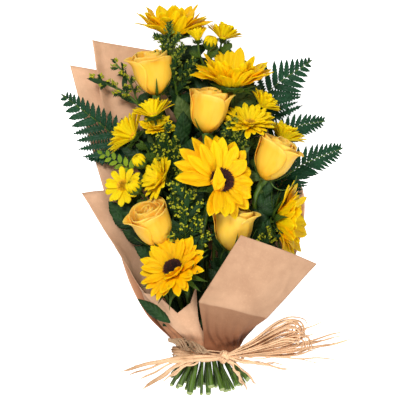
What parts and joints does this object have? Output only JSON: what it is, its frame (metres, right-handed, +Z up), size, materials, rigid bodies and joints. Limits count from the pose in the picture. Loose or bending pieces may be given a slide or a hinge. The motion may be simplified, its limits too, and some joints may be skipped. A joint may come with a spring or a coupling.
{
  "type": "mixed flower bouquet",
  "caption": "Hand-tied bouquet of sunflowers, yellow roses, daisy mums, goldenrod and fern, half wrapped in brown paper with a raffia bow, lying on its back.",
  "frame": {"origin": "on the surface that the bouquet lies on, under the middle of its box", "axes": "+X to the right seen from above with the blooms ahead, +Y from the cut stems towards the blooms, +Z up from the surface"},
  "size_m": [0.3734, 0.4952, 0.1433],
  "materials": {
    "sunflower_petal": "soft satin petal, golden yellow, orange at the root",
    "sunflower_disc": "matte, dark maroon-brown florets",
    "rose_petal": "velvety petal, warm yellow, paler at the lips",
    "daisy_petal": "satin petal, lemon yellow",
    "goldenrod": "matte, tiny yellow-green florets on green stalks",
    "stem": "smooth green stems and sepals, pale at the cut",
    "fern": "leathery dark bluish green, slightly glossy",
    "leaf": "leathery dark green, satin",
    "paper": "matte brown kraft paper with faint ribs and soft wrinkles",
    "raffia": "matte straw-coloured palm fibre with darker strands"
  },
  "bodies": {
    "root": {"sunflower_1_petals": "sunflower_petal", "sunflower_1_disc": "sunflower_disc", "sunflower_1_stem": "stem", "sunflower_2_petals": "sunflower_petal", "sunflower_2_disc": "sunflower_disc", "sunflower_2_stem": "stem", "sunflower_3_petals": "sunflower_petal", "sunflower_3_disc": "sunflower_disc", "sunflower_3_stem": "stem", "sunflower_4_petals": "sunflower_petal", "sunflower_4_disc": "sunflower_disc", "sunflower_4_stem": "stem", "sunflower_5_petals": "sunflower_petal", "sunflower_5_disc": "sunflower_disc", "sunflower_5_stem": "stem", "rose_1_petals": "rose_petal", "rose_1_stem": "stem", "rose_2_petals": "rose_petal", "rose_2_stem": "stem", "rose_3_petals": "rose_petal", "rose_3_stem": "stem", "rose_4_petals": "rose_petal", "rose_4_stem": "stem", "rose_5_petals": "rose_petal", "rose_5_stem": "stem", "daisy_spray_top_bloom_1": "daisy_petal", "daisy_spray_top_bloom_2": "daisy_petal", "daisy_spray_top_stems": "stem", "daisy_spray_left_bloom_1": "daisy_petal", "daisy_spray_left_bloom_2": "daisy_petal", "daisy_spray_left_bloom_3": "daisy_petal", "daisy_spray_left_stems": "stem", "daisy_spray_low_left_bloom_1": "daisy_petal", "daisy_spray_low_left_bloom_2": "daisy_petal", "daisy_spray_low_left_stems": "stem", "daisy_spray_right_bloom_1": "daisy_petal", "daisy_spray_right_bloom_2": "daisy_petal", "daisy_spray_right_bloom_3": "daisy_petal", "daisy_spray_right_stems": "stem", "goldenrod_top": "goldenrod", "goldenrod_left": "goldenrod", "goldenrod_mid_left": "goldenrod", "goldenrod_centre": "goldenrod", "goldenrod_mid_right": "goldenrod", "goldenrod_right": "goldenrod", "fern_left": "fern", "fern_right_top": "fern", "fern_right_mid": "fern", "fern_right_low": "fern", "leafy_twig_left": "leaf", "leafy_twig_mid": "leaf", "leafy_twig_right": "leaf", "paper_outer": "paper", "paper_inner": "paper", "paper_left": "paper", "paper_pleat": "paper", "paper_front": "paper", "raffia_band": "raffia", "raffia_bow": "raffia"}
  },
  "joints": []
}
